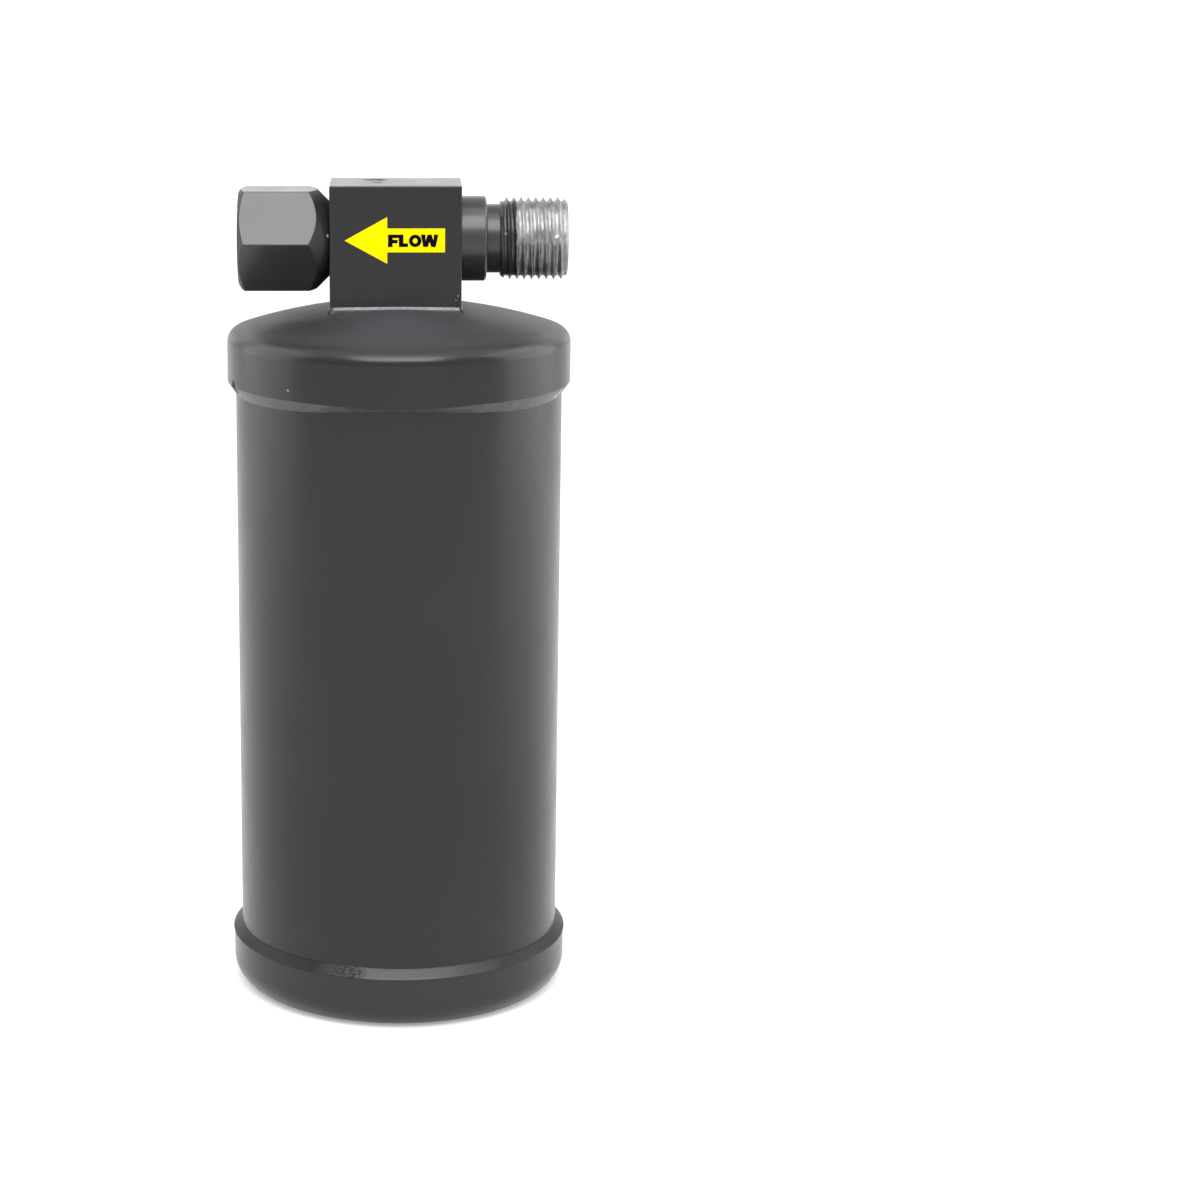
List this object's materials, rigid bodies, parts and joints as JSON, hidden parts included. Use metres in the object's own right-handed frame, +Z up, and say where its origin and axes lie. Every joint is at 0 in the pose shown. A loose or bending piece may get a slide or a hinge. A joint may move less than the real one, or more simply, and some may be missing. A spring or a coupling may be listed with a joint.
{
  "type": "filter drier",
  "caption": "Upright steel filter drier can with domed cap, header block, threaded inlet and a hexagon swivel nut at the outlet; inside, a pickup tube and a sprung drying pack.",
  "frame": {"origin": "centre of the can's flat foot", "axes": "+Z up along the can, +X along the inlet fitting away from the header block, the front of the part faces -Y"},
  "size_m": [0.0671, 0.067, 0.1606],
  "materials": {
    "can_paint": "satin black paint",
    "weld_paint": "satin black paint over rough weld metal",
    "block_paint": "satin black paint",
    "nut_paint": "satin black paint over turned steel",
    "bare_thread_steel": "bare turned thread, black paint from the collar to the first turns",
    "plain_steel": "plain drawn steel",
    "spring_steel": "oiled spring wire",
    "seal_rubber": "smooth green rubber",
    "felt": "pressed felt",
    "desiccant": "packed clay-like beads"
  },
  "bodies": {
    "canister": {"body_tube": "can_paint", "top_cap": "can_paint", "bottom_cap": "can_paint", "top_seam_weld": "weld_paint", "bottom_seam_weld": "weld_paint", "header_block": "block_paint", "header_braze": "weld_paint", "inlet_fitting": "bare_thread_steel", "outlet_nipple": "plain_steel", "outlet_o_ring": "seal_rubber", "pickup_tube": "plain_steel", "pickup_strainer": "plain_steel", "lower_support_ring": "plain_steel", "lower_perforated_plate": "plain_steel", "lower_filter_pad": "felt", "desiccant_bed": "desiccant", "upper_filter_pad": "felt", "upper_perforated_plate": "plain_steel", "compression_spring": "spring_steel"},
    "nut": {"swivel_nut": "nut_paint"}
  },
  "joints": [
    {"name": "nut_spin", "type": "hinge", "parent": "canister", "child": "nut", "pos_m": [-0.0146, 0, 0.14978], "axis": [1, 0, 0], "continuous": true}
  ]
}
